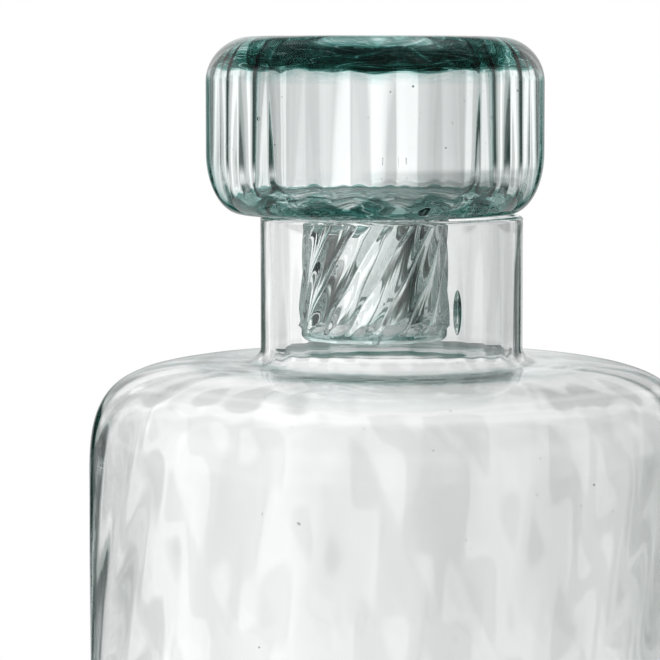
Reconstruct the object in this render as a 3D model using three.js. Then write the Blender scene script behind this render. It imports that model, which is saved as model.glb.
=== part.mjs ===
// A blown-glass bottle with a loose glass stopper, in millimetres, +Z up, standing on z = 0.
// Both pieces were blown into a ribbed optic mould, so soft ribs run through all of their walls:
// the bottle's ribs climb its side in a slow twist, and the stopper's shank was wrung while hot.
import * as THREE from "three";
import { mergeVertices } from "three/addons/utils/BufferGeometryUtils.js";

// Bottle, outside
const BODY_RADIUS = 60;
const CROWN_HEIGHT = 150;
const SHOULDER_ROUND_WIDTH = 11.5;
const SHOULDER_ROUND_HEIGHT = 21;
const SHOULDER_RISE = 1.5;
const NECK_RADIUS = 26;
const NECK_LENGTH = 30.4;
const NECK_ROOT_ROUND = 3;
const BASE_ROUND_WIDTH = 10;
const BASE_ROUND_HEIGHT = 12;
const FOOT_RING_WIDTH = 9;
const PUNT_HEIGHT = 4;

// Bottle, glass thickness: thin where the shoulder was drawn in, thick in the base
const NECK_WALL = 1.9;
const SHOULDER_WALL = 1.8;
const BODY_WALL = 3.2;
const BASE_WALL = 7;

// Stopper, outside: the head overhangs the neck and the shank hangs loose inside it
const HEAD_OVERHANG = 7.4;
const HEAD_HEIGHT = 35;
const HEAD_TOP_ROUND_WIDTH = 9.5;
const HEAD_TOP_ROUND_HEIGHT = 9;
const HEAD_FOOT_ROUND_HEIGHT = 12;
const SEAT_MARGIN = 0.4;
const SEAT_GAP = 0.25;
const STOPPER_SHIFT = 3.3;
const SHANK_CLEARANCE = 9.5;
const SHANK_FLARE = 0.7;
const SHANK_LENGTH = 24.7;
const SHANK_PLAIN_END = 2.2;
const SHANK_ROOT_ROUND = 1.2;
const SHANK_LIP_ROUND = 1.4;

// Stopper, glass thickness: a thick-walled hollow head, and a blow-hole that closed up as the shank was wrung
const HEAD_WALL = 10.8;
const HEAD_TOP_WALL = 5.2;
const HEAD_FLOOR_WALL = 5.2;
const CAVITY_TOP_ROUND = 3.5;
const CAVITY_FOOT_ROUND = 3;
const BLOW_HOLE_RADIUS = 0.8;
const BLOW_HOLE_ROUND = 1.4;

// Optic ribs: depth from crest to valley in each surface, twist in degrees for each millimetre of height
const BODY_RIB_COUNT = 30;
const BODY_RIB_DEPTH = 0.25;
const BODY_INNER_RIB_DEPTH = 0.35;
const SHOULDER_RIB_SHARE = 0.5;
const NECK_RIB_DEPTH = 0.08;
const BODY_TWIST = 0.38;
const STOPPER_RIB_COUNT = 18;
const HEAD_RIB_DEPTH = 0.15;
const CAVITY_TOP_RIB_DEPTH = 0.4;
const CAVITY_RIB_DEPTH = 0.8;
const CAVITY_FLOOR_RIB_DEPTH = 0.5;
const SHANK_RIB_DEPTH = 0.8;
const SHANK_TWIST = 2.2;

const BODY_FACETS_PER_RIB = 3;
const STOPPER_FACETS_PER_RIB = 4;
const MERGE_DISTANCE = 1e-3;

const NECK_BORE_RADIUS = NECK_RADIUS - NECK_WALL;
const RIM_HEIGHT = CROWN_HEIGHT + NECK_LENGTH;

const point = (r, z) => new THREE.Vector2(r, z);
const line = (from, to) => new THREE.LineCurve(from, to);

// A quarter of an ellipse from one point to another, leaving the first along the radius or along the axis.
function quarterRound(from, to, leavesAlongRadius) {
  const corner = leavesAlongRadius ? point(to.x, from.y) : point(from.x, to.y);
  const roundness = 0.5523;
  return new THREE.CubicBezierCurve(
    from,
    from.clone().lerp(corner, roundness),
    to.clone().lerp(corner, roundness),
    to,
  );
}

// Samples runs of curves into stations along the glass surface. Each station holds its place, the normal that
// points out of the glass (to the right of the way the profile runs), the wall behind it and the depth of its ribs.
function sampleRuns(runs) {
  const stations = [];
  runs.forEach(({ curve, steps, wall = [0, 0], ribs = [0, 0] }, index) => {
    for (let step = index === 0 ? 0 : 1; step <= steps; step++) {
      const t = step / steps;
      const tangent = curve.getTangent(t);
      const next = runs[index + 1];
      if (step === steps && next) tangent.add(next.curve.getTangent(0)).normalize();
      stations.push({
        place: curve.getPoint(t),
        normal: point(tangent.y, -tangent.x),
        wall: THREE.MathUtils.lerp(wall[0], wall[1], t),
        ribs: THREE.MathUtils.lerp(ribs[0], ribs[1], t),
      });
    }
  });
  return stations;
}

// Turns the stations about the axis. Each ring is turned by its twist, so the mesh follows the ribs, and the
// glass between two rib crests sinks in by the depth of the ribs.
function blownSolid(stations, ribCount, facetsPerRib, twistAt) {
  const segments = ribCount * facetsPerRib;
  const geometry = new THREE.LatheGeometry(stations.map((station) => station.place), segments);
  const position = geometry.getAttribute("position");
  for (let vertex = 0; vertex < position.count; vertex++) {
    const segment = Math.floor(vertex / stations.length) % segments;
    const { place, normal, ribs } = stations[vertex % stations.length];
    const turn = (2 * Math.PI * segment) / segments;
    const sink = (ribs * (1 - Math.cos(ribCount * turn))) / 2;
    const r = place.x - normal.x * sink;
    const z = place.y - normal.y * sink;
    const azimuth = turn + THREE.MathUtils.degToRad(twistAt(place.y));
    position.setXYZ(vertex, r * Math.cos(azimuth), r * Math.sin(azimuth), z);
  }
  geometry.deleteAttribute("normal");
  geometry.deleteAttribute("uv");
  return mergeVertices(geometry, MERGE_DISTANCE);
}

// The bottle's outer skin runs from the middle of the base up to the rim. The inside is the same skin moved
// in by the wall, and a round lip joins the two.
function bottleGeometry() {
  const footRadius = BODY_RADIUS - BASE_ROUND_WIDTH;
  const ringRadius = footRadius - FOOT_RING_WIDTH;
  const crown = point(BODY_RADIUS - SHOULDER_ROUND_WIDTH, CROWN_HEIGHT);
  const rootHeight = CROWN_HEIGHT + SHOULDER_RISE;
  const root = point(NECK_RADIUS + NECK_ROOT_ROUND, rootHeight);
  const riseBend = (crown.x - root.x) / 2;
  const lipRound = NECK_WALL / 2;
  const neckTop = point(NECK_RADIUS, RIM_HEIGHT - lipRound);
  const neckFoot = point(NECK_RADIUS, rootHeight + NECK_ROOT_ROUND);
  const wallFoot = point(BODY_RADIUS, BASE_ROUND_HEIGHT);
  const wallTop = point(BODY_RADIUS, CROWN_HEIGHT - SHOULDER_ROUND_HEIGHT);
  const ring = point(ringRadius, 0);
  const foot = point(footRadius, 0);
  const punt = new THREE.QuadraticBezierCurve(point(0, PUNT_HEIGHT), point(ringRadius / 2, PUNT_HEIGHT), ring);
  const shoulder = new THREE.CubicBezierCurve(
    crown,
    point(crown.x - riseBend, crown.y),
    point(root.x + riseBend, root.y),
    root,
  );
  const baseWall = [BASE_WALL, BASE_WALL];
  const bodyWall = [BODY_WALL, BODY_WALL];
  const shoulderWall = [SHOULDER_WALL, SHOULDER_WALL];
  const neckWall = [NECK_WALL, NECK_WALL];
  const skin = (depth) => {
    const faded = depth * SHOULDER_RIB_SHARE;
    return sampleRuns([
      { curve: punt, steps: 2, wall: baseWall },
      { curve: line(ring, foot), steps: 1, wall: baseWall },
      { curve: quarterRound(foot, wallFoot, true), steps: 3, wall: [BASE_WALL, BODY_WALL], ribs: [0, depth] },
      { curve: line(wallFoot, wallTop), steps: 6, wall: bodyWall, ribs: [depth, depth] },
      {
        curve: quarterRound(wallTop, crown, false),
        steps: 4,
        wall: [BODY_WALL, SHOULDER_WALL],
        ribs: [depth, faded],
      },
      { curve: shoulder, steps: 2, wall: shoulderWall, ribs: [faded, faded] },
      {
        curve: quarterRound(root, neckFoot, true),
        steps: 3,
        wall: [SHOULDER_WALL, NECK_WALL],
        ribs: [faded, NECK_RIB_DEPTH],
      },
      { curve: line(neckFoot, neckTop), steps: 1, wall: neckWall, ribs: [NECK_RIB_DEPTH, 0] },
    ]);
  };
  const lipCentre = point(NECK_RADIUS - lipRound, neckTop.y);
  const lip = new THREE.EllipseCurve(lipCentre.x, lipCentre.y, lipRound, lipRound, 0, Math.PI);
  const lipStations = sampleRuns([{ curve: lip, steps: 4 }]).slice(1, -1);
  const inside = skin(BODY_INNER_RIB_DEPTH)
    .reverse()
    .map(({ place, normal, wall, ribs }) => ({
      place: place.clone().addScaledVector(normal, -wall),
      normal: normal.clone().negate(),
      ribs,
    }));
  const stations = [...skin(BODY_RIB_DEPTH), ...lipStations, ...inside];
  const twistAt = (z) => BODY_TWIST * THREE.MathUtils.clamp(z, BASE_ROUND_HEIGHT, CROWN_HEIGHT);
  return blownSolid(stations, BODY_RIB_COUNT, BODY_FACETS_PER_RIB, twistAt);
}

// The stopper's profile starts at the middle of the hollow's roof, goes down through the blow-hole to the end of
// the shank and back up the outside to the top. Its z = 0 is the seat that rests on the bottle's rim.
function stopperGeometry() {
  const headRadius = NECK_RADIUS + HEAD_OVERHANG;
  const seatRadius = NECK_RADIUS + SEAT_MARGIN;
  const shankTop = NECK_BORE_RADIUS - SHANK_CLEARANCE;
  const shankFoot = shankTop + SHANK_FLARE;
  const cavityRadius = headRadius - HEAD_WALL;
  const cavityTop = HEAD_HEIGHT - HEAD_TOP_WALL;
  const topEdge = point(headRadius - HEAD_TOP_ROUND_WIDTH, HEAD_HEIGHT);
  const sideTop = point(headRadius, HEAD_HEIGHT - HEAD_TOP_ROUND_HEIGHT);
  const sideFoot = point(headRadius, HEAD_FOOT_ROUND_HEIGHT);
  const seatEdge = point(seatRadius, 0);
  const shankRoot = point(shankTop + SHANK_ROOT_ROUND, 0);
  const shankStart = point(shankTop, -SHANK_ROOT_ROUND);
  const shankEnd = point(shankFoot, SHANK_LIP_ROUND - SHANK_LENGTH);
  const ribsEnd = shankEnd.clone().lerp(shankStart, SHANK_PLAIN_END / (shankStart.y - shankEnd.y));
  const lipEdge = point(shankFoot - SHANK_LIP_ROUND, -SHANK_LENGTH);
  const holeLip = point(BLOW_HOLE_RADIUS + BLOW_HOLE_ROUND, -SHANK_LENGTH);
  const holeEnd = point(BLOW_HOLE_RADIUS, BLOW_HOLE_ROUND - SHANK_LENGTH);
  const holeTop = point(BLOW_HOLE_RADIUS, HEAD_FLOOR_WALL - BLOW_HOLE_ROUND);
  const floorEdge = point(BLOW_HOLE_RADIUS + BLOW_HOLE_ROUND, HEAD_FLOOR_WALL);
  const floorCorner = point(cavityRadius - CAVITY_FOOT_ROUND, HEAD_FLOOR_WALL);
  const cavityFoot = point(cavityRadius, HEAD_FLOOR_WALL + CAVITY_FOOT_ROUND);
  const cavityHead = point(cavityRadius, cavityTop - CAVITY_TOP_ROUND);
  const roofEdge = point(cavityRadius - CAVITY_TOP_ROUND, cavityTop);
  const head = [HEAD_RIB_DEPTH, HEAD_RIB_DEPTH];
  const shank = [SHANK_RIB_DEPTH, SHANK_RIB_DEPTH];
  const stations = sampleRuns([
    { curve: line(point(0, cavityTop), roofEdge), steps: 1 },
    { curve: quarterRound(roofEdge, cavityHead, true), steps: 3, ribs: [0, CAVITY_TOP_RIB_DEPTH] },
    { curve: line(cavityHead, cavityFoot), steps: 1, ribs: [CAVITY_TOP_RIB_DEPTH, CAVITY_RIB_DEPTH] },
    {
      curve: quarterRound(cavityFoot, floorCorner, false),
      steps: 3,
      ribs: [CAVITY_RIB_DEPTH, CAVITY_FLOOR_RIB_DEPTH],
    },
    { curve: line(floorCorner, floorEdge), steps: 1, ribs: [CAVITY_FLOOR_RIB_DEPTH, 0] },
    { curve: quarterRound(floorEdge, holeTop, true), steps: 2 },
    { curve: line(holeTop, holeEnd), steps: 1 },
    { curve: quarterRound(holeEnd, holeLip, false), steps: 2 },
    { curve: line(holeLip, lipEdge), steps: 1 },
    { curve: quarterRound(lipEdge, shankEnd, true), steps: 2 },
    { curve: line(shankEnd, ribsEnd), steps: 1, ribs: [0, SHANK_RIB_DEPTH] },
    { curve: line(ribsEnd, shankStart), steps: 5, ribs: shank },
    { curve: quarterRound(shankStart, shankRoot, false), steps: 2, ribs: [SHANK_RIB_DEPTH, 0] },
    { curve: line(shankRoot, seatEdge), steps: 1 },
    { curve: quarterRound(seatEdge, sideFoot, true), steps: 4, ribs: [0, HEAD_RIB_DEPTH] },
    { curve: line(sideFoot, sideTop), steps: 1, ribs: head },
    { curve: quarterRound(sideTop, topEdge, false), steps: 4, ribs: [HEAD_RIB_DEPTH, 0] },
    { curve: line(topEdge, point(0, HEAD_HEIGHT)), steps: 1 },
  ]);
  const twistAt = (z) => SHANK_TWIST * Math.min(z, 0);
  return blownSolid(stations, STOPPER_RIB_COUNT, STOPPER_FACETS_PER_RIB, twistAt);
}

const paleGlass = new THREE.MeshStandardMaterial({
  color: 0xdfe6e3,
  roughness: 0.04,
  metalness: 0,
  transparent: true,
  opacity: 0.35,
});
const thickGlass = paleGlass.clone();
thickGlass.color.set(0x9fbab2);

const bottle = new THREE.Mesh(bottleGeometry(), paleGlass);
bottle.name = "bottle";

const stopper = new THREE.Mesh(stopperGeometry(), thickGlass);
stopper.name = "stopper";
stopper.position.set(-STOPPER_SHIFT, 0, RIM_HEIGHT + SEAT_GAP);

const group = new THREE.Group();
group.add(bottle, stopper);

export default group;
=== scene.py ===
import math

import bpy
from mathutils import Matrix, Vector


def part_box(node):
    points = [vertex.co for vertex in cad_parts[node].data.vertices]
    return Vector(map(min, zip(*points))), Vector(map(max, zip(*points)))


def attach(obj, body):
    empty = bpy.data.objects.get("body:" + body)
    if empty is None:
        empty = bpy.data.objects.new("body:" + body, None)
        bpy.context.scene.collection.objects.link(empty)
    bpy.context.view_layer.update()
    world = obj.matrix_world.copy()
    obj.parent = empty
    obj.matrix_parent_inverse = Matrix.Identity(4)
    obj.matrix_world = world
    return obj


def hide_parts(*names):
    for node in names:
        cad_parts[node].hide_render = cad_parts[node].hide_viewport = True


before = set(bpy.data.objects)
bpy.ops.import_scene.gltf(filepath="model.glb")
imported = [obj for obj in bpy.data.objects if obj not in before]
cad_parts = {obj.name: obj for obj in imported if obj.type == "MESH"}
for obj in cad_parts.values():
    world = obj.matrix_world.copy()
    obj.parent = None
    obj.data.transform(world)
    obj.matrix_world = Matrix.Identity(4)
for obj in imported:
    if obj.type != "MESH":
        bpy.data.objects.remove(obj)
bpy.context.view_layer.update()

# Bottle
# One skin of pale recycled glass, blown into a ribbed optic mould and then swollen, so that the ribs lie
# soft in the wall and climb it in a slow twist. The rim was melted round, and the base was pushed up into
# a punt.
MM = 0.001
bottle_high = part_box("bottle")[1]
BODY_RADIUS = bottle_high.x
RIM_HEIGHT = bottle_high.z
NECK_LENGTH = 30.4 * MM
CROWN_HEIGHT = RIM_HEIGHT - NECK_LENGTH
SHOULDER_UPRIGHT = 19 * MM
SHOULDER_LEVEL = 26 * MM
SHOULDER_ROUND_HEIGHT = 21 * MM
SHOULDER_RISE = 1.5 * MM
NECK_RADIUS = 26 * MM
NECK_ROOT_ROUND = 3 * MM
BASE_ROUND_WIDTH = 10 * MM
BASE_ROUND_HEIGHT = 12 * MM
FOOT_RING_WIDTH = 9 * MM
PUNT_HEIGHT = 4 * MM
PUNT_HANDLE = 2 / 3
NECK_WALL = 1.9 * MM
SHOULDER_WALL = 1.8 * MM
BODY_WALL = 3.2 * MM
BASE_WALL = 7 * MM
BODY_RIB_COUNT = 30
BODY_RIB_DEPTH = 0.05 * MM
BODY_INNER_RIB_DEPTH = 0.06 * MM
NECK_RIB_DEPTH = 0.04 * MM
BODY_TWIST = math.radians(0.38) / MM
FINE_PITCH = 0.6 * MM
CLOSE_PITCH = 1 * MM
WIDE_PITCH = 2.5 * MM
LEAST_STEPS = 2
LENGTH_STEPS = 20
SLOPE_STEP = 0.001
QUARTER_HANDLE = 0.5523
SMOOTH_WAVE = 2.0


def cubic(start, handle, other_handle, end):
    """A Bezier curve in the plane of radius and height, as a function of a share from 0 to 1."""
    def at(share):
        rest = 1 - share
        weights = (rest ** 3, 3 * rest * rest * share, 3 * rest * share * share, share ** 3)
        corners = (start, handle, other_handle, end)
        return tuple(sum(w * c[axis] for w, c in zip(weights, corners)) for axis in (0, 1))
    return at


def between(start, end, share):
    """The point that lies this share of the way from start to end."""
    return tuple(a + (b - a) * share for a, b in zip(start, end))


def straight(start, end):
    """A straight stretch of the profile."""
    return cubic(start, between(start, end, 1 / 3), between(start, end, 2 / 3), end)


def quarter_round(start, end, along_radius):
    """A quarter of an ellipse, which leaves start along the radius or along the axis."""
    corner = (end[0], start[1]) if along_radius else (start[0], end[1])
    return cubic(start, between(start, corner, QUARTER_HANDLE), between(end, corner, QUARTER_HANDLE), end)


def lay_stations(runs, softness=SMOOTH_WAVE):
    """Points along the glass, each with its place, the way out of the glass, its wall and its ribs. A run is
    a curve, the pitch of its points, and the wall and the rib depth at its two ends. A softness of 2 makes
    the ribs a smooth wave, and 1 gives them sharp crests."""
    stations = []
    for index, (curve, pitch, wall, ribs) in enumerate(runs):
        marks = [curve(step / LENGTH_STEPS) for step in range(LENGTH_STEPS + 1)]
        length = sum(math.dist(mark, following) for mark, following in zip(marks, marks[1:]))
        steps = max(LEAST_STEPS, math.ceil(length / pitch))
        for step in range(0 if index == 0 else 1, steps + 1):
            share = step / steps
            ahead = curve(min(1, share + SLOPE_STEP))
            behind = curve(max(0, share - SLOPE_STEP))
            along = (ahead[0] - behind[0], ahead[1] - behind[1])
            size = math.hypot(*along)
            stations.append({
                "place": curve(share),
                "out": (along[1] / size, -along[0] / size),
                "wall": wall[0] + (wall[1] - wall[0]) * share,
                "ribs": ribs[0] + (ribs[1] - ribs[0]) * share,
                "softness": softness,
            })
    return stations


def add_node(tree, kind, inputs=(), **settings):
    """A node of that kind with its settings, and its inputs linked or set by name or number."""
    node = tree.nodes.new(kind)
    for name, value in settings.items():
        setattr(node, name, value)
    for name, value in dict(inputs).items():
        if isinstance(value, bpy.types.NodeSocket):
            tree.links.new(value, node.inputs[name])
        else:
            node.inputs[name].default_value = value
    return node


def calculate(tree, operation, first, *others):
    """One operation taken in turn over its values, or done to a single one, as a sine is."""
    result = first
    for value in others or (0.0,):
        result = add_node(tree, "ShaderNodeMath", {0: result, 1: value}, operation=operation).outputs[0]
    return result


NOISE_RISE = 14
NOISE_GAIN = 3.0
RIB_NOISE = 5.0
WALL_NOISE = 2.2
RING_NOISE = 6.0
STEADY_RINGS = 0.4
WHOLE_BAND = 1.0
WELD_DISTANCE = 0.001 * MM
LEAST_SEEDED_WALL = 1 * MM
SEED_DEPTHS = (0.3, 0.7)
SEED_SCALES = (0.25, 1.0)
BLISTER_SEGMENTS = 32
BLISTER_RINGS = 20


def blown_glass_tree():
    """Turns a profile about the axis. Each ring is turned by its twist and sunk between the rib crests, more
    at the front than at the back where Front Lean asks for it. Soft waves and faint rings are added, and
    bubbles left in the melt, small round seeds and one blister, are set into the wall as hollows."""
    tree = bpy.data.node_groups.new("blown_glass", "GeometryNodeTree")
    sockets = {
        "Profile": "NodeSocketGeometry",
        "Stations": "NodeSocketInt",
        "Segments": "NodeSocketInt",
        "Ribs": "NodeSocketInt",
        "Front Lean": "NodeSocketFloat",
        "Unevenness": "NodeSocketFloat",
        "Waviness": "NodeSocketFloat",
        "Blister Place": "NodeSocketVector",
        "Blister Size": "NodeSocketVector",
        "Blister Turn": "NodeSocketFloat",
        "Blister Tint": "NodeSocketFloat",
        "Seed Density": "NodeSocketFloat",
        "Seed Radius": "NodeSocketFloat",
        "Random Seed": "NodeSocketInt",
        "Glass": "NodeSocketMaterial",
    }
    for name, kind in sockets.items():
        tree.interface.new_socket(name, in_out="INPUT", socket_type=kind)
    tree.interface.new_socket("Geometry", in_out="OUTPUT", socket_type="NodeSocketGeometry")
    given = tree.nodes.new("NodeGroupInput").outputs
    rows = calculate(tree, "ADD", given["Segments"], 1)
    grid = add_node(tree, "GeometryNodeMeshGrid", {"Vertices X": rows, "Vertices Y": given["Stations"]})
    index = tree.nodes.new("GeometryNodeInputIndex").outputs[0]
    station = calculate(tree, "MODULO", index, given["Stations"])
    segment = calculate(tree, "FLOOR", calculate(tree, "DIVIDE", index, given["Stations"]))

    def attribute(kind, name):
        """A named attribute of the geometry at hand."""
        return add_node(tree, "GeometryNodeInputNamedAttribute", {"Name": name}, data_type=kind).outputs[0]

    def at_station(name, kind="FLOAT"):
        """An attribute of the profile at the station of each grid point."""
        inputs = {"Geometry": given["Profile"], "Value": attribute(kind, name), "Index": station}
        return add_node(tree, "GeometryNodeSampleIndex", inputs, data_type=kind).outputs[0]

    place = add_node(tree, "ShaderNodeSeparateXYZ", {0: at_station("position", "FLOAT_VECTOR")}).outputs
    out = add_node(tree, "ShaderNodeSeparateXYZ", {0: at_station("out", "FLOAT_VECTOR")}).outputs
    turn = calculate(tree, "DIVIDE", calculate(tree, "MULTIPLY", segment, 2 * math.pi), given["Segments"])
    noise_height = calculate(
        tree, "ADD", calculate(tree, "MULTIPLY", place["Z"], NOISE_RISE), at_station("noise_shift"))

    def unevenness(frequency):
        """Noise round the axis, drawn out along the ribs, from about -1 to 1."""
        spot = add_node(tree, "ShaderNodeCombineXYZ", {
            "X": calculate(tree, "MULTIPLY", calculate(tree, "COSINE", turn), frequency),
            "Y": calculate(tree, "MULTIPLY", calculate(tree, "SINE", turn), frequency),
            "Z": noise_height,
        }).outputs[0]
        noise = add_node(
            tree, "ShaderNodeTexNoise", {"Vector": spot, "Scale": 1.0, "Detail": 1.0}).outputs[0]
        return calculate(tree, "MULTIPLY", calculate(tree, "SUBTRACT", noise, 0.5), NOISE_GAIN)

    half_turns = calculate(tree, "MULTIPLY", turn, given["Ribs"], 0.5)
    between_crests = calculate(tree, "ABSOLUTE", calculate(tree, "SINE", half_turns))
    hollow = calculate(tree, "POWER", between_crests, at_station("softness"))
    azimuth = calculate(tree, "ADD", turn, at_station("twist"))
    front = calculate(tree, "MULTIPLY", calculate(tree, "SINE", azimuth), given["Front Lean"])
    share = calculate(
        tree, "ADD", 1.0, calculate(tree, "MULTIPLY", unevenness(RIB_NOISE), given["Unevenness"]))
    share = calculate(tree, "SUBTRACT", share, front)
    depth = calculate(tree, "MULTIPLY", at_station("ribs"), share, hollow)
    wave = calculate(
        tree, "MULTIPLY", given["Waviness"], calculate(tree, "ADD", 1.0, unevenness(WALL_NOISE)),
        at_station("wave"))
    broken = calculate(tree, "ADD", STEADY_RINGS, unevenness(RING_NOISE))
    rings = calculate(tree, "MULTIPLY", at_station("rings"), broken)
    sink = calculate(tree, "ADD", depth, wave, rings)
    radius = calculate(tree, "SUBTRACT", place["X"], calculate(tree, "MULTIPLY", out["X"], sink))
    height = calculate(tree, "SUBTRACT", place["Z"], calculate(tree, "MULTIPLY", out["Z"], sink))
    spot = add_node(tree, "ShaderNodeCombineXYZ", {
        "X": calculate(tree, "MULTIPLY", radius, calculate(tree, "COSINE", azimuth)),
        "Y": calculate(tree, "MULTIPLY", radius, calculate(tree, "SINE", azimuth)),
        "Z": height,
    }).outputs[0]

    def store(mesh, name, value):
        """The mesh with a named value kept at each point."""
        inputs = {"Geometry": mesh, "Name": name, "Value": value}
        return add_node(tree, "GeometryNodeStoreNamedAttribute", inputs, data_type="FLOAT").outputs[0]

    scallop = calculate(tree, "MULTIPLY", calculate(tree, "SUBTRACT", hollow, 0.5), at_station("scallop"))
    marked = store(grid.outputs["Mesh"], "wall", at_station("wall"))
    marked = store(marked, "thick", at_station("thick"))
    marked = store(marked, "band", calculate(tree, "ADD", at_station("band"), scallop))
    # right carries how much painted grey shade each point takes.
    marked = store(marked, "right", at_station("right"))
    shaped = add_node(tree, "GeometryNodeSetPosition", {"Geometry": marked, "Position": spot}).outputs[0]
    skin = add_node(
        tree, "GeometryNodeMergeByDistance", {"Geometry": shaped, "Distance": WELD_DISTANCE}).outputs[0]

    def drawn_from(span):
        """A random number of the span for each seed."""
        inputs = {2: span[0], 3: span[1], "Seed": given["Random Seed"]}
        return add_node(tree, "FunctionNodeRandomValue", inputs, data_type="FLOAT").outputs[1]

    wall = attribute("FLOAT", "wall")
    thick_enough = {"A": wall, "B": LEAST_SEEDED_WALL}
    seeded = add_node(tree, "FunctionNodeCompare", thick_enough, operation="GREATER_THAN").outputs[0]
    spread = add_node(tree, "GeometryNodeDistributePointsOnFaces", {
        "Mesh": skin, "Selection": seeded, "Density": given["Seed Density"], "Seed": given["Random Seed"],
    }).outputs
    inwards = calculate(tree, "MULTIPLY", wall, drawn_from(SEED_DEPTHS), -1.0)
    offset = add_node(
        tree, "ShaderNodeVectorMath", {0: spread["Normal"], "Scale": inwards}, operation="SCALE").outputs[0]
    sunk = add_node(tree, "GeometryNodeSetPosition", {"Geometry": spread["Points"], "Offset": offset})
    ball = add_node(tree, "GeometryNodeMeshIcoSphere", {"Radius": given["Seed Radius"], "Subdivisions": 1})
    hollow_ball = add_node(tree, "GeometryNodeFlipFaces", {"Mesh": ball.outputs["Mesh"]})
    seeds = add_node(tree, "GeometryNodeInstanceOnPoints", {
        "Points": sunk.outputs[0], "Instance": hollow_ball.outputs[0], "Scale": drawn_from(SEED_SCALES),
    }).outputs[0]
    bubble = add_node(tree, "GeometryNodeMeshUVSphere", {
        "Segments": BLISTER_SEGMENTS, "Rings": BLISTER_RINGS, "Radius": 1.0,
    })
    aim = add_node(tree, "ShaderNodeCombineXYZ", {"Z": given["Blister Turn"]}).outputs[0]
    laid = add_node(tree, "GeometryNodeTransform", {
        "Geometry": bubble.outputs["Mesh"], "Translation": given["Blister Place"], "Rotation": aim,
        "Scale": given["Blister Size"],
    })
    blister = add_node(tree, "GeometryNodeFlipFaces", {"Mesh": laid.outputs[0]}).outputs[0]
    blister = store(blister, "thick", given["Blister Tint"])
    blister = store(blister, "band", WHOLE_BAND)
    joined = tree.nodes.new("GeometryNodeJoinGeometry")
    for geometry in (blister, skin, seeds):
        tree.links.new(geometry, joined.inputs[0])
    real = add_node(tree, "GeometryNodeRealizeInstances", {"Geometry": joined.outputs[0]})
    smooth = add_node(tree, "GeometryNodeSetShadeSmooth", {"Geometry": real.outputs[0]})
    glazed = add_node(
        tree, "GeometryNodeSetMaterial", {"Geometry": smooth.outputs[0], "Material": given["Glass"]})
    add_node(tree, "NodeGroupOutput", {0: glazed.outputs[0]})
    return tree


GLASS_TREE = blown_glass_tree()


def blow(name, stations, twist_at, tint_at, inputs, axis_x=0.0, seat_height=0.0):
    """One blown piece as a plain mesh, from the stations of its profile, with its place in the mesh."""
    profile = bpy.data.meshes.new(name + "_profile")
    places = [(s["place"][0], 0.0, s["place"][1]) for s in stations]
    profile.from_pydata(places, [(k, k + 1) for k in range(len(places) - 1)], [])
    tints = [tint_at(*s["place"]) for s in stations]
    columns = {column: [tint[column] for tint in tints] for column in ("thick", "band", "scallop", "right")}
    columns["twist"] = [twist_at(s["place"][1]) for s in stations]
    usual = {
        "wall": 0.0, "ribs": 0.0, "softness": SMOOTH_WAVE, "wave": 1.0, "noise_shift": 0.0, "rings": 0.0,
    }
    for column, value in usual.items():
        columns[column] = [s.get(column, value) for s in stations]
    for column, values in columns.items():
        profile.attributes.new(column, "FLOAT", "POINT").data.foreach_set("value", values)
    ways_out = [value for s in stations for value in (s["out"][0], 0.0, s["out"][1])]
    profile.attributes.new("out", "FLOAT_VECTOR", "POINT").data.foreach_set("vector", ways_out)
    piece = bpy.data.objects.new(name, profile)
    bpy.context.scene.collection.objects.link(piece)
    modifier = piece.modifiers.new("blow", "NODES")
    modifier.node_group = GLASS_TREE
    inputs = {"Stations": len(stations), **inputs}
    for item in GLASS_TREE.interface.items_tree:
        if item.in_out == "INPUT" and item.name in inputs:
            modifier[item.identifier] = inputs[item.name]
    blown = bpy.data.meshes.new_from_object(piece.evaluated_get(bpy.context.evaluated_depsgraph_get()))
    piece.modifiers.remove(modifier)
    piece.data = blown
    bpy.data.meshes.remove(profile)
    blown.name = name
    for vertex in blown.vertices:
        vertex.co.x += axis_x
        vertex.co.z += seat_height
    return piece


def map_range(tree, value, source, target=(0.0, 1.0), soft=False):
    """The value carried from one span to another and held within it, in a straight line or a soft step."""
    inputs = {"Value": value, 1: source[0], 2: source[1], 3: target[0], 4: target[1]}
    kind = "SMOOTHSTEP" if soft else "LINEAR"
    return add_node(tree, "ShaderNodeMapRange", inputs, interpolation_type=kind).outputs[0]


GLASS_COLOUR = (0.1, 0.62, 0.55)
GLASS_IOR = 1.52
STREAK_SCALE = (70, 70, 400)
STREAK_DETAIL = 1.5
STREAK_DISTORTION = 0.6
EDGE_WOBBLE_SCALE = 60.0
EDGE_WOBBLE = 0.4
BAND_EDGE = (0.7, 0.9)
FRINGE_SPAN = (0.0, 0.4)
FRINGE_TINT = 0.05
LINE_COUNT = 26.0
LINE_SPAN = (0.0, 0.4)
SLANT_SPAN = (0.6, 1.0)
RIPPLE_SCALE = 90.0
RIPPLE_DETAIL = 2.0
RIPPLE_STRENGTH = 0.02
RIPPLE_HEIGHT = 1 * MM


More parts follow.
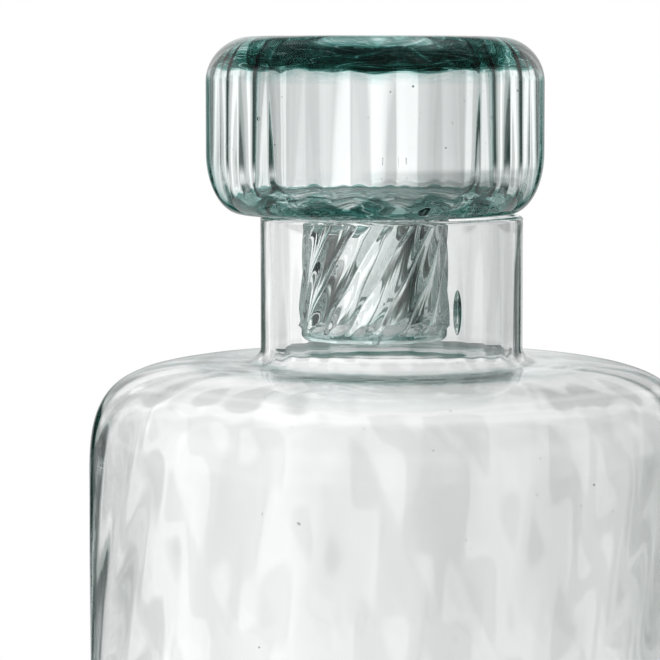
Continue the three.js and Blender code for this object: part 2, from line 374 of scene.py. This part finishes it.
def glass(name, density, deep, shade, side, streak_span, streak_tint, line_depth, slant_tint):
    """Clear glass with a faint ripple left by the tools, green where it is thick. The shares of red, green
    and blue that pass one surface are deep where it is full green, and shade where it is full grey. The
    grey is painted shade: it grows from left to right over side, fixed to the object, in place of light
    that falls off across the glass. Streaks and contour lines break up the green, and slant_tint
    adds to it where the surface is seen at a slant."""
    material = bpy.data.materials.new(name)
    material.use_nodes = True
    tree = material.node_tree
    shader = tree.nodes["Principled BSDF"]
    shader.inputs["Roughness"].default_value = 0.0
    shader.inputs["IOR"].default_value = GLASS_IOR
    shader.inputs["Transmission Weight"].default_value = 1.0

    def attribute(name):
        """A named value of the mesh."""
        return add_node(tree, "ShaderNodeAttribute", attribute_name=name).outputs["Fac"]

    spot = tree.nodes.new("ShaderNodeTexCoord").outputs["Object"]
    wobble = add_node(
        tree, "ShaderNodeTexNoise", {"Vector": spot, "Scale": EDGE_WOBBLE_SCALE, "Detail": 0.0}).outputs[0]
    band = attribute("band")
    wavy_band = calculate(tree, "ADD", band, calculate(tree, "MULTIPLY", wobble, EDGE_WOBBLE))
    edge = map_range(tree, wavy_band, BAND_EDGE, soft=True)
    fringe = map_range(tree, band, FRINGE_SPAN, (0.0, FRINGE_TINT), soft=True)
    edge = calculate(tree, "MAXIMUM", edge, fringe)
    drawn_out = add_node(tree, "ShaderNodeMapping", {"Vector": spot, "Scale": STREAK_SCALE}).outputs[0]
    streaks = add_node(tree, "ShaderNodeTexNoise", {
        "Vector": drawn_out, "Scale": 1.0, "Detail": STREAK_DETAIL, "Distortion": STREAK_DISTORTION,
    }).outputs[0]
    flow = map_range(tree, streaks, streak_span, streak_tint)
    waves = calculate(tree, "SINE", calculate(tree, "MULTIPLY", streaks, LINE_COUNT))
    off_line = calculate(tree, "ABSOLUTE", waves)
    contours = map_range(tree, off_line, LINE_SPAN, (1.0 - line_depth, 1.0), soft=True)
    flow = calculate(tree, "MULTIPLY", flow, contours)
    green = calculate(tree, "MULTIPLY", attribute("thick"), edge, flow)
    facing = tree.nodes.new("ShaderNodeLayerWeight").outputs["Facing"]
    green = calculate(tree, "ADD", green, map_range(tree, facing, SLANT_SPAN, (0.0, slant_tint), soft=True))
    # Painted shade: grey laid on from left to right across the object's X, standing in for light that falls
    # off across the glass.
    across = add_node(tree, "ShaderNodeSeparateXYZ", {0: spot}).outputs["X"]
    painted_grey = calculate(tree, "MULTIPLY", attribute("right"), map_range(tree, across, side))
    passed = {
        channel: calculate(
            tree, "MULTIPLY", calculate(tree, "POWER", dark, green), calculate(tree, "POWER", dim, painted_grey))
        for channel, dark, dim in zip(("Red", "Green", "Blue"), deep, shade)
    }
    tint = add_node(tree, "ShaderNodeCombineColor", passed)
    tree.links.new(tint.outputs[0], shader.inputs["Base Color"])
    noise = add_node(
        tree, "ShaderNodeTexNoise", {"Vector": spot, "Scale": RIPPLE_SCALE, "Detail": RIPPLE_DETAIL})
    bump = add_node(tree, "ShaderNodeBump", {
        "Height": noise.outputs[0], "Strength": RIPPLE_STRENGTH, "Distance": RIPPLE_HEIGHT,
    })
    tree.links.new(bump.outputs[0], shader.inputs["Normal"])
    depth = add_node(tree, "ShaderNodeVolumeAbsorption", {"Color": (*GLASS_COLOUR, 1), "Density": density})
    tree.links.new(depth.outputs[0], tree.nodes["Material Output"].inputs["Volume"])
    return material


def bottle_skin(rib_depth):
    """The outside of the bottle from the middle of the base up to the rim."""
    foot_radius = BODY_RADIUS - BASE_ROUND_WIDTH
    middle = (0.0, PUNT_HEIGHT)
    ring = (foot_radius - FOOT_RING_WIDTH, 0.0)
    foot = (foot_radius, 0.0)
    wall_foot = (BODY_RADIUS, BASE_ROUND_HEIGHT)
    wall_top = (BODY_RADIUS, CROWN_HEIGHT - SHOULDER_ROUND_HEIGHT)
    root = (NECK_RADIUS + NECK_ROOT_ROUND, CROWN_HEIGHT + SHOULDER_RISE)
    neck_foot = (NECK_RADIUS, root[1] + NECK_ROOT_ROUND)
    neck_top = (NECK_RADIUS, RIM_HEIGHT - NECK_WALL / 2)
    punt_bend = (ring[0] / 2, PUNT_HEIGHT)
    punt = cubic(
        middle, between(middle, punt_bend, PUNT_HANDLE), between(ring, punt_bend, PUNT_HANDLE), ring)
    shoulder = cubic(
        wall_top, (BODY_RADIUS, wall_top[1] + SHOULDER_UPRIGHT), (root[0] + SHOULDER_LEVEL, root[1]), root)
    base_wall = (BASE_WALL, BASE_WALL)
    body_wall = (BODY_WALL, BODY_WALL)
    neck_wall = (NECK_WALL, NECK_WALL)
    root_wall = (SHOULDER_WALL, NECK_WALL)
    plain = (0.0, 0.0)
    return lay_stations([
        (punt, WIDE_PITCH, base_wall, plain),
        (straight(ring, foot), WIDE_PITCH, base_wall, plain),
        (quarter_round(foot, wall_foot, True), CLOSE_PITCH, (BASE_WALL, BODY_WALL), (0.0, rib_depth)),
        (straight(wall_foot, wall_top), WIDE_PITCH, body_wall, (rib_depth, rib_depth)),
        (shoulder, CLOSE_PITCH, (BODY_WALL, SHOULDER_WALL), (rib_depth, 0.0)),
        (quarter_round(root, neck_foot, True), FINE_PITCH, root_wall, (0.0, NECK_RIB_DEPTH)),
        (straight(neck_foot, neck_top), WIDE_PITCH, neck_wall, (NECK_RIB_DEPTH, 0.0)),
    ])


def climb(span, value):
    """A straight climb from 0 at the start of the span to 1 at its end."""
    return min(max((value - span[0]) / (span[1] - span[0]), 0.0), 1.0)


def ease(span, value):
    """A soft climb from 0 at the start of the span to 1 at its end."""
    share = climb(span, value)
    return share * share * (3 - 2 * share)


HEEL_TINT = 0.3
HEEL_HEIGHTS = (14 * MM, 4 * MM)
HEEL_RADII = (30 * MM, 45 * MM)
ROOT_TINT = 0.55
ROOT_HEIGHTS = (CROWN_HEIGHT - 0.9 * MM, CROWN_HEIGHT - 0.3 * MM)
ROOT_OUTER_RADII = (43 * MM, 36 * MM)
ROOT_INNER_RADII = (26.5 * MM, 29 * MM)
# Painted shade in the neck and the body: how much grey darkens the glass towards the right, in place of
# falling light.
NECK_PAINTED_SHADE = 0.045
NECK_PAINTED_SHADE_FOOT = CROWN_HEIGHT + 3 * MM
BODY_PAINTED_SHADE = 0.031
BODY_PAINTED_SHADE_HEIGHTS = (6 * MM, 16 * MM)


def bottle_tint(radius, height):
    """The tint of the bottle's glass: thick is its green, at the heel of the base and the root of the neck,
    and right its painted grey shade, faint in the body and more in the neck, which darkens the
    glass from left to right in place of falling light. The green has no edge, so its band is whole and
    nothing scallops it."""
    heel = HEEL_TINT * ease(HEEL_HEIGHTS, height) * ease(HEEL_RADII, radius)
    ring = ease(ROOT_OUTER_RADII, radius) * ease(ROOT_INNER_RADII, radius)
    root = ROOT_TINT * ease(ROOT_HEIGHTS, height) * ring
    painted_grey = NECK_PAINTED_SHADE if height > NECK_PAINTED_SHADE_FOOT else BODY_PAINTED_SHADE * ease(BODY_PAINTED_SHADE_HEIGHTS, height)
    return {"thick": heel + root, "band": WHOLE_BAND, "scallop": 0.0, "right": painted_grey}


def bottle_twist(height):
    """How far the bottle's ribs have turned at this height."""
    return BODY_TWIST * min(max(height, BASE_ROUND_HEIGHT), CROWN_HEIGHT)


RING_DEPTH = 0.12 * MM
RING_PITCH = 5 * MM
RING_FOOT = CROWN_HEIGHT - 2 * MM
RING_INNER_RADII = (27 * MM, 30 * MM)
RING_OUTER_RADII = (42 * MM, 36 * MM)
outside = bottle_skin(BODY_RIB_DEPTH)
for station in outside:
    radius, height = station["place"]
    if height > RING_FOOT:
        reach = ease(RING_INNER_RADII, radius) * ease(RING_OUTER_RADII, radius)
        station["rings"] = RING_DEPTH * reach * math.sin(2 * math.pi * radius / RING_PITCH)
LIP_STEPS = 10
lip_round = NECK_WALL / 2
lip = []
for step in range(1, LIP_STEPS):
    angle = math.pi * step / LIP_STEPS
    out = (math.cos(angle), math.sin(angle))
    place = (NECK_RADIUS - lip_round + lip_round * out[0], RIM_HEIGHT - lip_round + lip_round * out[1])
    lip.append({"place": place, "out": out, "wave": 0.0})
INSIDE_NOISE_SHIFT = 7.0
inside = []
for station in reversed(bottle_skin(BODY_INNER_RIB_DEPTH)):
    place, out, wall = station["place"], station["out"], station["wall"]
    inside.append({
        "place": (max(0.0, place[0] - out[0] * wall), place[1] - out[1] * wall),
        "out": (-out[0], -out[1]),
        "ribs": station["ribs"],
        "noise_shift": INSIDE_NOISE_SHIFT,
    })
BLISTER_AZIMUTH = math.radians(-60.3)
BLISTER_RADIUS = NECK_RADIUS - NECK_WALL / 2
BLISTER_HEIGHT = CROWN_HEIGHT + 12.9 * MM
blister_x = BLISTER_RADIUS * math.cos(BLISTER_AZIMUTH)
blister_y = BLISTER_RADIUS * math.sin(BLISTER_AZIMUTH)
bottle_glass = glass(
    "bottle_glass",
    density=4.0,
    deep=(0.03, 0.07, 0.062),
    shade=(0.05, 0.062, 0.056),
    side=(-25 * MM, 13 * MM),
    streak_span=(0.4, 0.66),
    streak_tint=(0.25, 1.5),
    line_depth=0.0,
    slant_tint=0.0,
)
bottle = blow("blown_bottle", outside + lip + inside, bottle_twist, bottle_tint, {
    "Segments": 300,
    "Ribs": BODY_RIB_COUNT,
    "Unevenness": 0.9,
    "Waviness": 0.06 * MM,
    "Seed Density": 1800.0,
    "Seed Radius": 0.24 * MM,
    "Random Seed": 4,
    "Blister Place": (blister_x, blister_y, BLISTER_HEIGHT),
    "Blister Size": (0.5 * MM, 0.9 * MM, 4.3 * MM),
    "Blister Turn": BLISTER_AZIMUTH,
    "Blister Tint": 0.35,
    "Glass": bottle_glass,
})
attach(bottle, "bottle")
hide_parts("bottle")

# Stopper
# Blown like a small bottle turned upside down, of the same glass left thick: a hollow head whose ribs run
# straight, and a shank that was wrung while hot until only a narrow blow-hole was left in it. It stands
# loose on the bottle's rim.
stopper_low, stopper_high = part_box("stopper")
STOPPER_AXIS = (stopper_low.x + stopper_high.x) / 2
HEAD_RADIUS = (stopper_high.x - stopper_low.x) / 2
HEAD_HEIGHT = 35 * MM
SHANK_LENGTH = stopper_high.z - stopper_low.z - HEAD_HEIGHT
SEAT_HEIGHT = stopper_high.z - HEAD_HEIGHT
SEAT_RADIUS = 26.4 * MM
HEAD_TOP_ROUND_WIDTH = 9.5 * MM
HEAD_TOP_ROUND_HEIGHT = 9 * MM
HEAD_FOOT_ROUND_HEIGHT = 12 * MM
HEAD_WALL = 10.8 * MM
HEAD_TOP_WALL = 5.2 * MM
HEAD_FLOOR_WALL = 5.2 * MM
CAVITY_TOP_ROUND = 3.5 * MM
CAVITY_FOOT_ROUND = 3 * MM
SHANK_FOOT_RADIUS = 15.3 * MM
SHANK_TOP_RADIUS = 14.6 * MM
SHANK_ROOT_ROUND = 0.4 * MM
SHANK_LIP_ROUND = 1 * MM
BORE_RADIUS = 0.4 * MM
BORE_ROUND = 1.4 * MM
STOPPER_RIB_COUNT = 18
HEAD_RIB_DEPTH = 0.03 * MM
CAVITY_RIB_DEPTH = 0.24 * MM
CAVITY_FOOT_RIB_DEPTH = 0.25 * MM
SHANK_PLAIN_END = 1 * MM
SHANK_FADE = 0.8 * MM
SHANK_RIB_DEPTH = 0.8 * MM
SHANK_TWIST = math.radians(2.2) / MM
SHARP_CREST = 1.1

cavity_radius = HEAD_RADIUS - HEAD_WALL
cavity_top = HEAD_HEIGHT - HEAD_TOP_WALL
roof_middle = (0.0, cavity_top)
roof_edge = (cavity_radius - CAVITY_TOP_ROUND, cavity_top)
cavity_head = (cavity_radius, cavity_top - CAVITY_TOP_ROUND)
cavity_foot = (cavity_radius, HEAD_FLOOR_WALL + CAVITY_FOOT_ROUND)
floor_corner = (cavity_radius - CAVITY_FOOT_ROUND, HEAD_FLOOR_WALL)
floor_edge = (BORE_RADIUS + BORE_ROUND, HEAD_FLOOR_WALL)
bore_top = (BORE_RADIUS, HEAD_FLOOR_WALL - BORE_ROUND)
bore_end = (BORE_RADIUS, BORE_ROUND - SHANK_LENGTH)
bore_lip = (BORE_RADIUS + BORE_ROUND, -SHANK_LENGTH)
shank_end = (SHANK_FOOT_RADIUS - SHANK_RIB_DEPTH / 2, SHANK_LIP_ROUND - SHANK_LENGTH)
lip_edge = (shank_end[0] - SHANK_LIP_ROUND, -SHANK_LENGTH)
shank_start = (SHANK_TOP_RADIUS, -SHANK_ROOT_ROUND)
shank_plain = (shank_end[0], shank_end[1] + SHANK_PLAIN_END)
shank_ribs_end = (SHANK_FOOT_RADIUS, shank_plain[1] + SHANK_FADE)
shank_root = (SHANK_TOP_RADIUS + SHANK_ROOT_ROUND, 0.0)
seat_edge = (SEAT_RADIUS, 0.0)
side_foot = (HEAD_RADIUS, HEAD_FOOT_ROUND_HEIGHT)
side_top = (HEAD_RADIUS, HEAD_HEIGHT - HEAD_TOP_ROUND_HEIGHT)
top_edge = (HEAD_RADIUS - HEAD_TOP_ROUND_WIDTH, HEAD_HEIGHT)
top_middle = (0.0, HEAD_HEIGHT)
no_seeds = (0.0, 0.0)
head_wall = (HEAD_TOP_WALL, HEAD_TOP_WALL)
no_ribs = (0.0, 0.0)
side_ribs = (HEAD_RIB_DEPTH, HEAD_RIB_DEPTH)
shank_ribs = (SHANK_RIB_DEPTH, SHANK_RIB_DEPTH)
cavity_top_ribs = (0.0, CAVITY_RIB_DEPTH / 2)
cavity_ribs = (CAVITY_RIB_DEPTH / 2, CAVITY_RIB_DEPTH)
cavity_foot_ribs = (CAVITY_RIB_DEPTH, CAVITY_FOOT_RIB_DEPTH)
hollow_stations = lay_stations([
    (straight(roof_middle, roof_edge), WIDE_PITCH, no_seeds, no_ribs),
    (quarter_round(roof_edge, cavity_head, True), FINE_PITCH, no_seeds, cavity_top_ribs),
    (straight(cavity_head, cavity_foot), CLOSE_PITCH, no_seeds, cavity_ribs),
], SHARP_CREST)
floor_stations = lay_stations([
    (quarter_round(cavity_foot, floor_corner, False), FINE_PITCH, no_seeds, cavity_foot_ribs),
    (straight(floor_corner, floor_edge), CLOSE_PITCH, no_seeds, (CAVITY_FOOT_RIB_DEPTH, 0.0)),
    (quarter_round(floor_edge, bore_top, True), FINE_PITCH, no_seeds, no_ribs),
    (straight(bore_top, bore_end), WIDE_PITCH, no_seeds, no_ribs),
    (quarter_round(bore_end, bore_lip, False), FINE_PITCH, no_seeds, no_ribs),
    (straight(bore_lip, lip_edge), WIDE_PITCH, no_seeds, no_ribs),
    (quarter_round(lip_edge, shank_end, True), FINE_PITCH / 2, no_seeds, no_ribs),
])
shank_stations = lay_stations([
    (straight(shank_end, shank_plain), FINE_PITCH, no_seeds, no_ribs),
    (straight(shank_plain, shank_ribs_end), FINE_PITCH / 2, no_seeds, (0.0, SHANK_RIB_DEPTH)),
    (straight(shank_ribs_end, shank_start), FINE_PITCH, no_seeds, shank_ribs),
    (quarter_round(shank_start, shank_root, False), FINE_PITCH / 2, no_seeds, (SHANK_RIB_DEPTH, 0.0)),
], SHARP_CREST)
head_stations = lay_stations([
    (straight(shank_root, seat_edge), CLOSE_PITCH, no_seeds, no_ribs),
    (quarter_round(seat_edge, side_foot, True), FINE_PITCH, head_wall, (0.0, HEAD_RIB_DEPTH)),
    (straight(side_foot, side_top), CLOSE_PITCH, head_wall, side_ribs),
    (quarter_round(side_top, top_edge, False), FINE_PITCH, head_wall, (HEAD_RIB_DEPTH, 0.0)),
    (straight(top_edge, top_middle), WIDE_PITCH, head_wall, no_ribs),
])
stopper_stations = hollow_stations + floor_stations[1:] + shank_stations[1:] + head_stations[1:]

# At the head's foot: the glass's own green where it is thick, deepened with painted shade for the dark that
# thick glass shows.
FOOT_GREEN_AND_SHADE = 0.85
# Painted shade at the head's foot: grey that darkens it towards the right.
FOOT_PAINTED_SHADE = 0.2
FOOT_HEIGHTS = (10 * MM, 9 * MM)
FOOT_RADII = (18 * MM, 24 * MM)
FOOT_BAND = (6.5 * MM, 1.5 * MM)
FOOT_SCALLOP = 0.45
# Round the top: the glass's own green where it is thick, deepened with painted shade for the dark that thick
# glass shows.
TOP_GREEN_AND_SHADE = 1.3
TOP_HEIGHTS = (15 * MM, 18 * MM)
TOP_RADII = (10 * MM, 22 * MM)
TOP_BAND = (25.5 * MM, 30 * MM)
TOP_SCALLOP = 0.12
TOP_FACE_HEIGHTS = (31 * MM, 34.5 * MM)
TOP_FACE_LOSS = 0.8
HEAD_MIDDLE = 15 * MM
# Painted shade in the shank: strong grey that darkens it towards the right.
SHANK_PAINTED_SHADE = 0.45
SHANK_END_TINT = 0.09
SHANK_END_HEIGHTS = (2.6 * MM - SHANK_LENGTH, 1.8 * MM - SHANK_LENGTH)


def stopper_tint(radius, height):
    """The tint of the stopper's glass: thick is its green, deepest round the top, deep at the head's foot
    and faint at the shank's end. Round the top and at the foot it is the glass's own green where it is
    thick, deepened with painted shade for the dark that the thick glass shows. band is 0 to 1 across the
    edge of the green, scallop is how far the ribs scallop that edge, and right is the painted grey
    shade that darkens the right side, strong in the shank and less at the head's foot."""
    low = ease(FOOT_HEIGHTS, height) * ease(FOOT_RADII, radius)
    top = TOP_GREEN_AND_SHADE * ease(TOP_HEIGHTS, height) * ease(TOP_RADII, radius)
    top *= 1 - TOP_FACE_LOSS * ease(TOP_FACE_HEIGHTS, height)
    end = SHANK_END_TINT * ease(SHANK_END_HEIGHTS, height)
    in_top = height > HEAD_MIDDLE
    return {
        "thick": FOOT_GREEN_AND_SHADE * low + top + end,
        "band": climb(TOP_BAND if in_top else FOOT_BAND, height),
        "scallop": TOP_SCALLOP if in_top else FOOT_SCALLOP,
        "right": SHANK_PAINTED_SHADE if height < 0 else FOOT_PAINTED_SHADE * low,
    }


def stopper_twist(height):
    """How far the stopper's ribs have turned at this height: only the shank was wrung."""
    return SHANK_TWIST * min(height, 0.0)


stopper_glass = glass(
    "stopper_glass",
    density=3.0,
    deep=(0.0075, 0.06, 0.049),
    shade=(0.05, 0.062, 0.058),
    side=(-7 * MM, 12 * MM),
    streak_span=(0.3, 0.7),
    streak_tint=(0.4, 1.6),
    line_depth=0.8,
    slant_tint=0.6,
)
stopper = blow("blown_stopper", stopper_stations, stopper_twist, stopper_tint, {
    "Segments": 396,
    "Ribs": STOPPER_RIB_COUNT,
    "Front Lean": 0.8,
    "Unevenness": 0.3,
    "Waviness": 0.06 * MM,
    "Seed Density": 6000.0,
    "Seed Radius": 0.28 * MM,
    "Random Seed": 9,
    "Blister Place": (-21.6 * MM, -24.1 * MM, 19.2 * MM),
    "Blister Size": (0.4 * MM, 0.4 * MM, 0.4 * MM),
    "Glass": stopper_glass,
}, axis_x=STOPPER_AXIS, seat_height=SEAT_HEIGHT)
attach(stopper, "stopper")
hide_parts("stopper")

# Floor
# A round table top with a pale matt paint, which the bottle stands on. It lies a hair below the foot ring,
# so that glass and paint don't share a face.
FLOOR_RADIUS = 0.42
FLOOR_SIDES = 128
FLOOR_GAP = 0.1 * MM
FLOOR_TONE = (0.9, 0.9, 0.9, 1)
FLOOR_ROUGHNESS = 0.8
floor_rim = []
for side in range(FLOOR_SIDES):
    angle = 2 * math.pi * side / FLOOR_SIDES
    floor_rim.append((FLOOR_RADIUS * math.cos(angle), FLOOR_RADIUS * math.sin(angle), -FLOOR_GAP))
floor_mesh = bpy.data.meshes.new("floor")
floor_mesh.from_pydata(floor_rim, [], [tuple(range(FLOOR_SIDES))])
floor = bpy.data.objects.new("floor", floor_mesh)
bpy.context.scene.collection.objects.link(floor)
floor_paint = bpy.data.materials.new("floor_paint")
floor_paint.use_nodes = True
floor_shader = floor_paint.node_tree.nodes["Principled BSDF"]
floor_shader.inputs["Base Color"].default_value = FLOOR_TONE
floor_shader.inputs["Roughness"].default_value = FLOOR_ROUGHNESS
floor_mesh.materials.append(floor_paint)

# Studio light
# A ring of tall soft panels with dark gaps, under a ceiling, which only the glass sees. Their brightness
# also follows how many glass surfaces a ray has crossed and whether it was mirrored on its way, as if each
# stretch of glass had lamps of its own. The bare backdrop and the light on the floor are plain white.
PANEL_COUNT = 8
PANEL_TURN = math.radians(-2)
PANEL_STOPS = (
    (0.5, (1, 1, 1)),
    (0.62, (0.59, 0.63, 0.613)),
    (0.76, (0.435, 0.5, 0.477)),
    (0.86, (0.015, 0.045, 0.04)),
)
GAP_TONE = (0.01, 0.035, 0.03)
WHITE = (1, 1, 1, 1)
JUST_INSIDE = 0.9999
HALF_A_COUNT = 0.5
TWO_WALLS = 4.0
OVER_TWO_WALLS = 5.0
FIRST_WALL = (0.0, 2.0)
THIRD_WALL = (4.0, 6.0)
world = bpy.data.worlds.new("studio")
bpy.context.scene.world = world
world.use_nodes = True
world.cycles.sampling_method = "NONE"
sky = world.node_tree
sky.nodes.clear()
towards = sky.nodes.new("ShaderNodeTexCoord").outputs["Generated"]
ray = add_node(sky, "ShaderNodeSeparateXYZ", {0: towards}).outputs
steepness = ray["Z"]
azimuth = calculate(sky, "ARCTAN2", ray["Y"], ray["X"])

# What has happened to the ray: passes counts the glass surfaces that it has gone through.
path = sky.nodes.new("ShaderNodeLightPath").outputs
passes = path["Transmission Depth"]
mirrored = calculate(sky, "LESS_THAN", passes, HALF_A_COUNT)
unturned = calculate(sky, "LESS_THAN", path["Glossy Depth"], HALF_A_COUNT)
through_glass = calculate(sky, "GREATER_THAN", passes, HALF_A_COUNT)
turned = calculate(sky, "MULTIPLY", calculate(sky, "SUBTRACT", 1.0, unturned), through_glass)
two_walls = calculate(sky, "COMPARE", passes, TWO_WALLS)
three_walls = calculate(sky, "GREATER_THAN", passes, OVER_TWO_WALLS)
many_walls = calculate(sky, "MAXIMUM", two_walls, three_walls)
seen_through = calculate(sky, "MULTIPLY", two_walls, unturned)
scattered = calculate(sky, "GREATER_THAN", path["Diffuse Depth"], HALF_A_COUNT)
bare = calculate(sky, "MAXIMUM", path["Is Camera Ray"], scattered)

# The panels fade into the gaps. A ray turned inside the glass meets them narrowed, more so low down.
NARROWING_STEEPNESS = (-0.05, -0.14)
NARROWING = (0.2, 0.4)
panel_angle = calculate(sky, "MULTIPLY", calculate(sky, "SUBTRACT", azimuth, PANEL_TURN), PANEL_COUNT)
panel_cosine = calculate(sky, "MULTIPLY", calculate(sky, "COSINE", panel_angle), JUST_INSIDE)
off_middle = calculate(sky, "DIVIDE", calculate(sky, "ARCCOSINE", panel_cosine), math.pi)
lowered = map_range(sky, steepness, NARROWING_STEEPNESS, NARROWING)
narrowed = calculate(sky, "ADD", 1.0, calculate(sky, "MULTIPLY", turned, lowered))
panel = add_node(sky, "ShaderNodeValToRGB", {0: calculate(sky, "MULTIPLY", off_middle, narrowed)})
stops = panel.color_ramp.elements
for share, tone in PANEL_STOPS:
    stops.new(share).color = (*tone, 1)
stops[0].color = WHITE
stops[-1].color = (*GAP_TONE, 1)

# Upright tubes shine through the panels' cloth, many low down and two in each panel higher up.
LEVEL_STEEPNESS = (-0.05, -0.03)
TUBE_GLARE = (0.05, 0.18)
PANEL_LIGHT = 0.94
PANEL_SLANT = 0.08
level = map_range(sky, steepness, LEVEL_STEEPNESS)


def tube_row(turn, tubes_per_panel, edge):
    """A ring of upright tubes of light, from -1 between them to 1 on them."""
    off_tube = calculate(sky, "SUBTRACT", azimuth, turn)
    angle = calculate(sky, "MULTIPLY", off_tube, PANEL_COUNT * tubes_per_panel)
    return map_range(sky, calculate(sky, "COSINE", angle), edge, (-1.0, 1.0), soft=True)


low_tubes = tube_row(turn=math.radians(1.8), tubes_per_panel=8, edge=(-0.45, 0.45))
high_tubes = tube_row(turn=math.radians(-0.7), tubes_per_panel=2, edge=(0.3, 0.85))
tubes = add_node(
    sky, "ShaderNodeMix", {0: level, 2: low_tubes, 3: high_tubes}, data_type="FLOAT").outputs[0]
glare = map_range(sky, level, (0.0, 1.0), TUBE_GLARE)
even = calculate(sky, "ADD", PANEL_LIGHT, calculate(sky, "MULTIPLY", tubes, glare))
sideways = calculate(sky, "MULTIPLY", calculate(sky, "SINE", panel_angle), PANEL_SLANT)
slant = calculate(sky, "ADD", even, sideways)

# Low mirrored rays and turned rays meet less light, and rays behind three walls or just below level more.
LOW_MIRROR_STEEPNESS = (-0.04, 0.04)
LOW_MIRROR = (0.55, 1.0)
RAISED_STEEPNESS = (-0.11, -0.08)
RAISED = (1.0, 1.12)
LEVEL_LOSS = 0.1
THREE_WALL_GAIN = 0.5
TURNED_LOSS = 0.58
low_mirror = map_range(sky, steepness, LOW_MIRROR_STEEPNESS, LOW_MIRROR)
dimmed = add_node(
    sky, "ShaderNodeMix", {0: mirrored, 2: 1.0, 3: low_mirror}, data_type="FLOAT").outputs[0]
raised = map_range(sky, steepness, RAISED_STEEPNESS, RAISED)
raised = calculate(sky, "SUBTRACT", raised, calculate(sky, "MULTIPLY", level, LEVEL_LOSS))
raised = calculate(sky, "ADD", raised, calculate(sky, "MULTIPLY", three_walls, THREE_WALL_GAIN))
raised = calculate(sky, "SUBTRACT", raised, calculate(sky, "MULTIPLY", many_walls, turned, TURNED_LOSS))
strength = calculate(sky, "MULTIPLY", slant, dimmed, raised)

# The gaps deepen behind three walls. They fill behind two, seen straight through, and in high mirrors.
PANEL_CONTRAST = (1.0, 2.8)
SEEN_THROUGH_LEAST = 0.88
THREE_WALL_LEAST = 0.05
HIGH_MIRROR_STEEPNESS = (0.0, 0.05)
HIGH_MIRROR_LEAST = (0.0, 0.95)
contrast = map_range(sky, passes, THIRD_WALL, PANEL_CONTRAST)
tones = add_node(sky, "ShaderNodeGamma", {"Color": panel.outputs[0], "Gamma": contrast}).outputs[0]
high_mirror = map_range(sky, steepness, HIGH_MIRROR_STEEPNESS, HIGH_MIRROR_LEAST)
least = calculate(
    sky, "ADD",
    calculate(sky, "MULTIPLY", seen_through, SEEN_THROUGH_LEAST),
    calculate(sky, "MULTIPLY", three_walls, THREE_WALL_LEAST),
    calculate(sky, "MULTIPLY", mirrored, high_mirror))
tones = add_node(
    sky, "ShaderNodeMix", {0: 1.0, 6: tones, 7: least}, data_type="RGBA", blend_type="LIGHTEN").outputs[2]

# The ceiling is dim to mirrored rays, and bright to those that have gone through a wall.
CEILING_FOOT = (0.32, 0.03)
CEILING_FADE = 0.2
CEILING_TONE = (0.1, 1.0)
ceiling_foot = map_range(sky, passes, FIRST_WALL, CEILING_FOOT)
ceiling_span = (ceiling_foot, calculate(sky, "ADD", ceiling_foot, CEILING_FADE))
overhead = map_range(sky, steepness, ceiling_span, soft=True)
ceiling = map_range(sky, passes, FIRST_WALL, CEILING_TONE)
tones = add_node(sky, "ShaderNodeMix", {0: overhead, 6: tones, 7: ceiling}, data_type="RGBA").outputs[2]
studio = add_node(sky, "ShaderNodeBackground", {"Color": tones, "Strength": strength})
backdrop = add_node(sky, "ShaderNodeBackground", {"Color": WHITE, "Strength": 1.0})
mixed = add_node(sky, "ShaderNodeMixShader", {0: bare, 1: studio.outputs[0], 2: backdrop.outputs[0]})
add_node(sky, "ShaderNodeOutputWorld", {"Surface": mixed.outputs[0]})

# Light runs far along inside the thick glass, and would end in black lines at the usual count of bounces.
MOST_BOUNCES = 96
MOST_PASSES = 64
scene = bpy.context.scene
scene.view_settings.view_transform = "Standard"
scene.cycles.max_bounces = MOST_BOUNCES
scene.cycles.glossy_bounces = MOST_BOUNCES
scene.cycles.transmission_bounces = MOST_PASSES

# Camera
# It stands level with the stopper's head and looks a little down and to the left, through a long lens, so
# that the bottle's axis falls right of the picture's middle.
CAMERA_DISTANCE = 592.5 * MM
CAMERA_HEIGHT = 210.9 * MM
FOCAL_PIXELS = 3000
IMAGE_PIXELS = 660
HORIZON_ROW = 60
AXIS_COLUMN = 391.6
SENSOR_WIDTH = 36
NEAR_SIGHT = 0.01
FAR_SIGHT = 20
lens = bpy.data.cameras.new("camera")
lens.sensor_width = SENSOR_WIDTH
lens.lens = SENSOR_WIDTH * FOCAL_PIXELS / IMAGE_PIXELS
lens.clip_start = NEAR_SIGHT
lens.clip_end = FAR_SIGHT
camera = bpy.data.objects.new("camera", lens)
scene.collection.objects.link(camera)
down = math.atan((IMAGE_PIXELS / 2 - HORIZON_ROW) / FOCAL_PIXELS)
left = math.atan((AXIS_COLUMN - IMAGE_PIXELS / 2) / FOCAL_PIXELS)
camera.location = (0, -CAMERA_DISTANCE, CAMERA_HEIGHT)
camera.rotation_euler = (math.pi / 2 - down, 0, left)
scene.camera = camera
